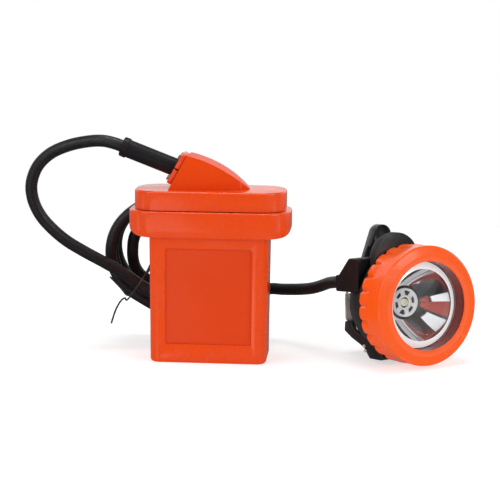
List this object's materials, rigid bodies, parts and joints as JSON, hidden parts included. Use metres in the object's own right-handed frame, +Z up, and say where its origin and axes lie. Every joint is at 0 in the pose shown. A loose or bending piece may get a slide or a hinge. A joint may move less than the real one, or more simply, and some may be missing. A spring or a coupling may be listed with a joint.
{
  "type": "cap lamp",
  "caption": "Helmet lamp for mining: a belt-worn battery box, a rubber cord with its spare length tied in a hank, and a round headpiece with a screw-on bezel and lever switch.",
  "frame": {"origin": "centre of the battery box's base, on the surface that it stands on", "axes": "+Z up through the battery box, +X along its width towards the headpiece, +Y from its front panel to its belt loop"},
  "size_m": [0.2827, 0.0983, 0.1384],
  "materials": {
    "battery_shell": "glossy moulded orange plastic",
    "cells": "shrink-wrapped cell",
    "black_leads": "wire insulation",
    "red_leads": "wire insulation",
    "belt_loop": "black powder coat",
    "screws": "machined stainless steel",
    "bezel_ring": "glossy moulded orange plastic",
    "cable_boot": "moulded black rubber",
    "cap_hook": "brushed spring steel",
    "cell_cradle": "grey moulded spacer",
    "headpiece_body": "fine-textured black moulded plastic",
    "contacts": "nickel plate",
    "cord": "satin black rubber sheath",
    "circuit_boards": "solder mask",
    "seals": "moulded seal rubber",
    "gland_clamp": "glossy moulded orange plastic",
    "heat_sink": "machined",
    "reflector": "vacuum-metallised mirror",
    "lens": "clear polished lens",
    "light_source": "phosphor under a clear dome",
    "strain_relief": "moulded black rubber",
    "switch_brass": "bright brass",
    "switch_lever": "smooth black plastic",
    "spindle": "turned stainless steel",
    "wire_tie": "thin black plastic-coated wire"
  },
  "bodies": {
    "lamp": {"battery_case": "battery_shell", "battery_cell_1": "cells", "battery_cell_2": "cells", "battery_cell_3": "cells", "battery_lead_negative": "black_leads", "battery_lead_positive": "red_leads", "battery_lid": "battery_shell", "belt_loop": "belt_loop", "belt_screw_1": "screws", "belt_screw_2": "screws", "cable_boot": "cable_boot", "cap_hook": "cap_hook", "cell_cradle": "cell_cradle", "charging_block": "headpiece_body", "charging_contact_1": "contacts", "charging_contact_2": "contacts", "cord_battery_side": "cord", "cord_hank": "cord", "cord_lamp_side": "cord", "driver_board": "circuit_boards", "gland_clamp_lower": "gland_clamp", "gland_clamp_upper": "gland_clamp", "gland_screw_1": "screws", "gland_screw_2": "screws", "gland_screw_3": "screws", "gland_screw_4": "screws", "headpiece_shell": "headpiece_body", "heat_sink": "heat_sink", "hook_screw_1": "screws", "hook_screw_2": "screws", "lamp_lead_negative": "black_leads", "lamp_lead_positive": "red_leads", "led_board": "circuit_boards", "led_retainer_ring": "reflector", "lens_seal": "seals", "lid_screw_1": "screws", "lid_screw_2": "screws", "lid_screw_3": "screws", "lid_screw_4": "screws", "lid_seal": "seals", "main_led": "light_source", "nickel_strip_bottom": "contacts", "nickel_strip_top": "contacts", "protection_board": "circuit_boards", "reflector": "reflector", "strain_relief_sleeve": "strain_relief", "switch_contact_spring": "switch_brass", "wire_tie": "wire_tie"},
    "lens_pack": {"lens": "lens", "front_gasket": "seals"},
    "bezel": {"bezel_ring": "bezel_ring"},
    "switch": {"switch_lever": "switch_lever", "switch_spindle": "spindle", "switch_rotor": "switch_brass", "lever_screw": "screws", "spindle_o_ring": "seals"}
  },
  "joints": [
    {"name": "bezel_travel", "type": "slide", "parent": "lamp", "child": "lens_pack", "axis": [0.5714, -0.816, 0.0872], "range_m": [0, 0.008]},
    {"name": "bezel_turn", "type": "hinge", "parent": "lens_pack", "child": "bezel", "pos_m": [0.1348, -0.0162, 0.03905], "axis": [0.5714, -0.816, 0.0872], "range_deg": [0, 1440]},
    {"name": "switch_turn", "type": "hinge", "parent": "lamp", "child": "switch", "pos_m": [0.1283, -0.01825, 0.06246], "axis": [0.5714, -0.816, 0.0872], "range_deg": [0, 60]}
  ],
  "couplings": [
    {"joint": "bezel_travel", "follows": "bezel_turn", "m_per_rad": 0.00031831}
  ]
}
